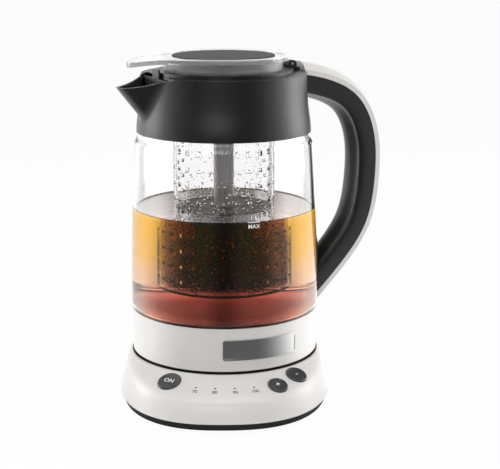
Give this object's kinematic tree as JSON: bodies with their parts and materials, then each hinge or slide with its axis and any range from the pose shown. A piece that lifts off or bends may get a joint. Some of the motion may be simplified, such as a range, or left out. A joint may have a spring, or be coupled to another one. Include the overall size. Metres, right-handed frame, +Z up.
{
  "type": "automatic tea maker",
  "caption": "Glass kettle with a hanging tea infuser and hinged lid, standing on a low electric power base with push buttons.",
  "frame": {"origin": "on the table, on the axis of the jug, at the middle of the rubber foot ring", "axes": "+Z up, the control panel of the base faces -Y, the handle points 23.3 degrees round from +X"},
  "size_m": [0.1968, 0.1796, 0.2493],
  "materials": {
    "silver_plastic": "satin",
    "brushed_steel": "brushed",
    "black_plastic": "satin",
    "grey_plastic": "satin",
    "button_plastic": "gloss",
    "glass": "polished",
    "clear_plastic": "polished",
    "rubber": "matte",
    "seal": "matte",
    "aluminium": "cast",
    "steel": "plain",
    "brass": "plain",
    "circuit_board": "satin"
  },
  "bodies": {
    "base": {"base_cover": "silver_plastic", "base_tray": "black_plastic", "foot_ring": "rubber", "cover_screws": "steel", "dish_screws": "steel", "jug_dish": "black_plastic", "base_connector": "black_plastic", "connector_contacts": "brass", "control_board": "circuit_board", "board_screws": "steel", "tactile_switches": "black_plastic", "button_guides": "grey_plastic", "indicator_leds": "clear_plastic", "light_pipes": "clear_plastic", "cord_inlet": "rubber"},
    "start": {"start_button": "button_plastic"},
    "temperature": {"temperature_button": "button_plastic"},
    "warm": {"warm_button": "button_plastic"},
    "socket": {"socket": "grey_plastic", "socket_blades": "brass"},
    "jug": {"socket_retainer": "black_plastic", "bottom_cover": "black_plastic", "bottom_screws": "steel", "steel_ring": "brushed_steel", "badge_plate": "brushed_steel", "vessel_floor": "steel", "heat_spreader": "aluminium", "heating_element": "aluminium", "thermostat": "black_plastic", "temperature_sensor": "brass", "floor_gasket": "seal", "glass_vessel": "glass", "collar_gasket": "seal", "spout_collar": "black_plastic", "spout_filter": "grey_plastic", "handle_grip": "black_plastic", "handle_screws": "steel", "handle_strap": "silver_plastic"},
    "infuser": {"infuser_basket": "clear_plastic", "infuser_stem": "grey_plastic", "infuser_seat": "black_plastic", "infuser_skirt": "clear_plastic", "hinge_pin": "steel"},
    "cover": {"cover_disc": "clear_plastic", "cover_insert": "button_plastic"}
  },
  "joints": [
    {"name": "start_press", "type": "slide", "parent": "base", "child": "start", "axis": [0.1888, 0.3421, -0.9205], "range_m": [0, 0.001], "stiffness_N_per_m": 600},
    {"name": "temperature_press", "type": "slide", "parent": "base", "child": "temperature", "axis": [-0.1713, 0.3512, -0.9205], "range_m": [0, 0.001], "stiffness_N_per_m": 600},
    {"name": "warm_press", "type": "slide", "parent": "base", "child": "warm", "axis": [-0.2512, 0.2993, -0.9205], "range_m": [0, 0.001], "stiffness_N_per_m": 600},
    {"name": "jug_lift", "type": "slide", "parent": "base", "child": "socket", "axis": [0, 0, 1], "range_m": [0, 0.12]},
    {"name": "jug_swivel", "type": "hinge", "parent": "socket", "child": "jug", "pos_m": [0, 0, 0.03], "axis": [0, 0, 1], "continuous": true},
    {"name": "infuser_lift", "type": "slide", "parent": "jug", "child": "infuser", "axis": [0, 0, 1], "range_m": [0, 0.175]},
    {"name": "cover_hinge", "type": "hinge", "parent": "infuser", "child": "cover", "pos_m": [0.04794, 0.02065, 0.2411], "axis": [-0.3955, 0.9184, 0], "range_deg": [0, 80]}
  ]
}
